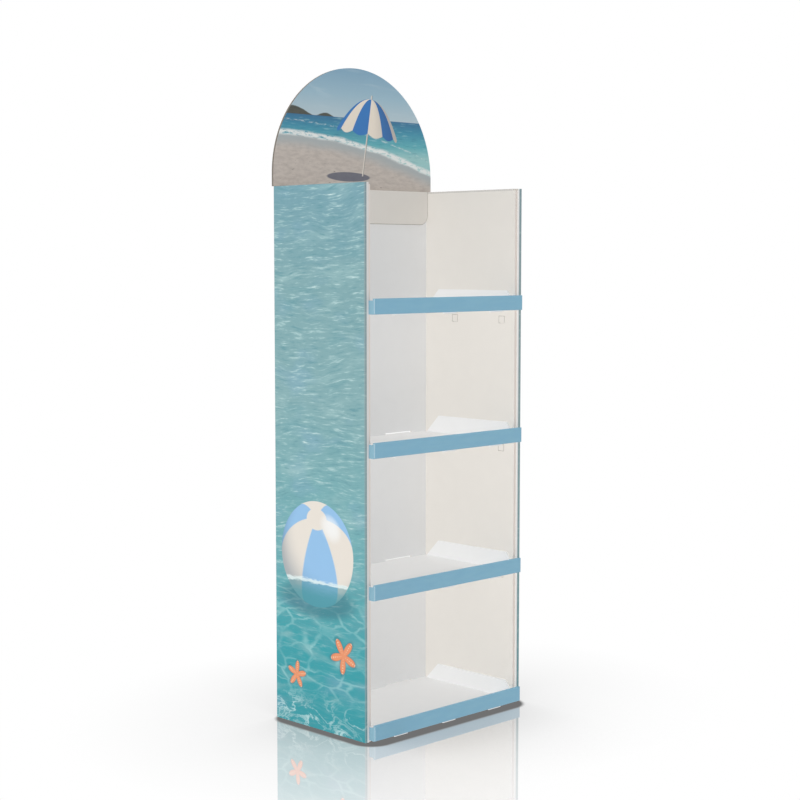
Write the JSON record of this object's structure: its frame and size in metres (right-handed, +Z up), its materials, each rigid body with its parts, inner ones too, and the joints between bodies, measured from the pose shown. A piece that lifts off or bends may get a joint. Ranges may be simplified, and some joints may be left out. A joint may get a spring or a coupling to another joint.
{
  "type": "floor display stand",
  "caption": "Free-standing cardboard floor display stand with printed side walls, lipped shelf trays slotted between them and an arched header card.",
  "frame": {"origin": "on the floor, under the middle of the outer box", "axes": "+X to the right across the front, +Y from the front lips to the back panel, +Z up"},
  "size_m": [0.6, 0.377, 1.7729],
  "materials": {
    "wrap_board": "satin print on white-lined corrugated board",
    "liner_board": "matt unprinted coated board",
    "tray_board": "matt white board with a blue printed lip",
    "header_board": "satin print on white-lined board"
  },
  "bodies": {
    "root": {"outer_wrap": "wrap_board", "left_liner": "liner_board", "right_liner": "liner_board", "shelf_tray_1": "tray_board", "shelf_tray_2": "tray_board", "shelf_tray_3": "tray_board", "shelf_tray_4": "tray_board", "header": "header_board"}
  },
  "joints": []
}
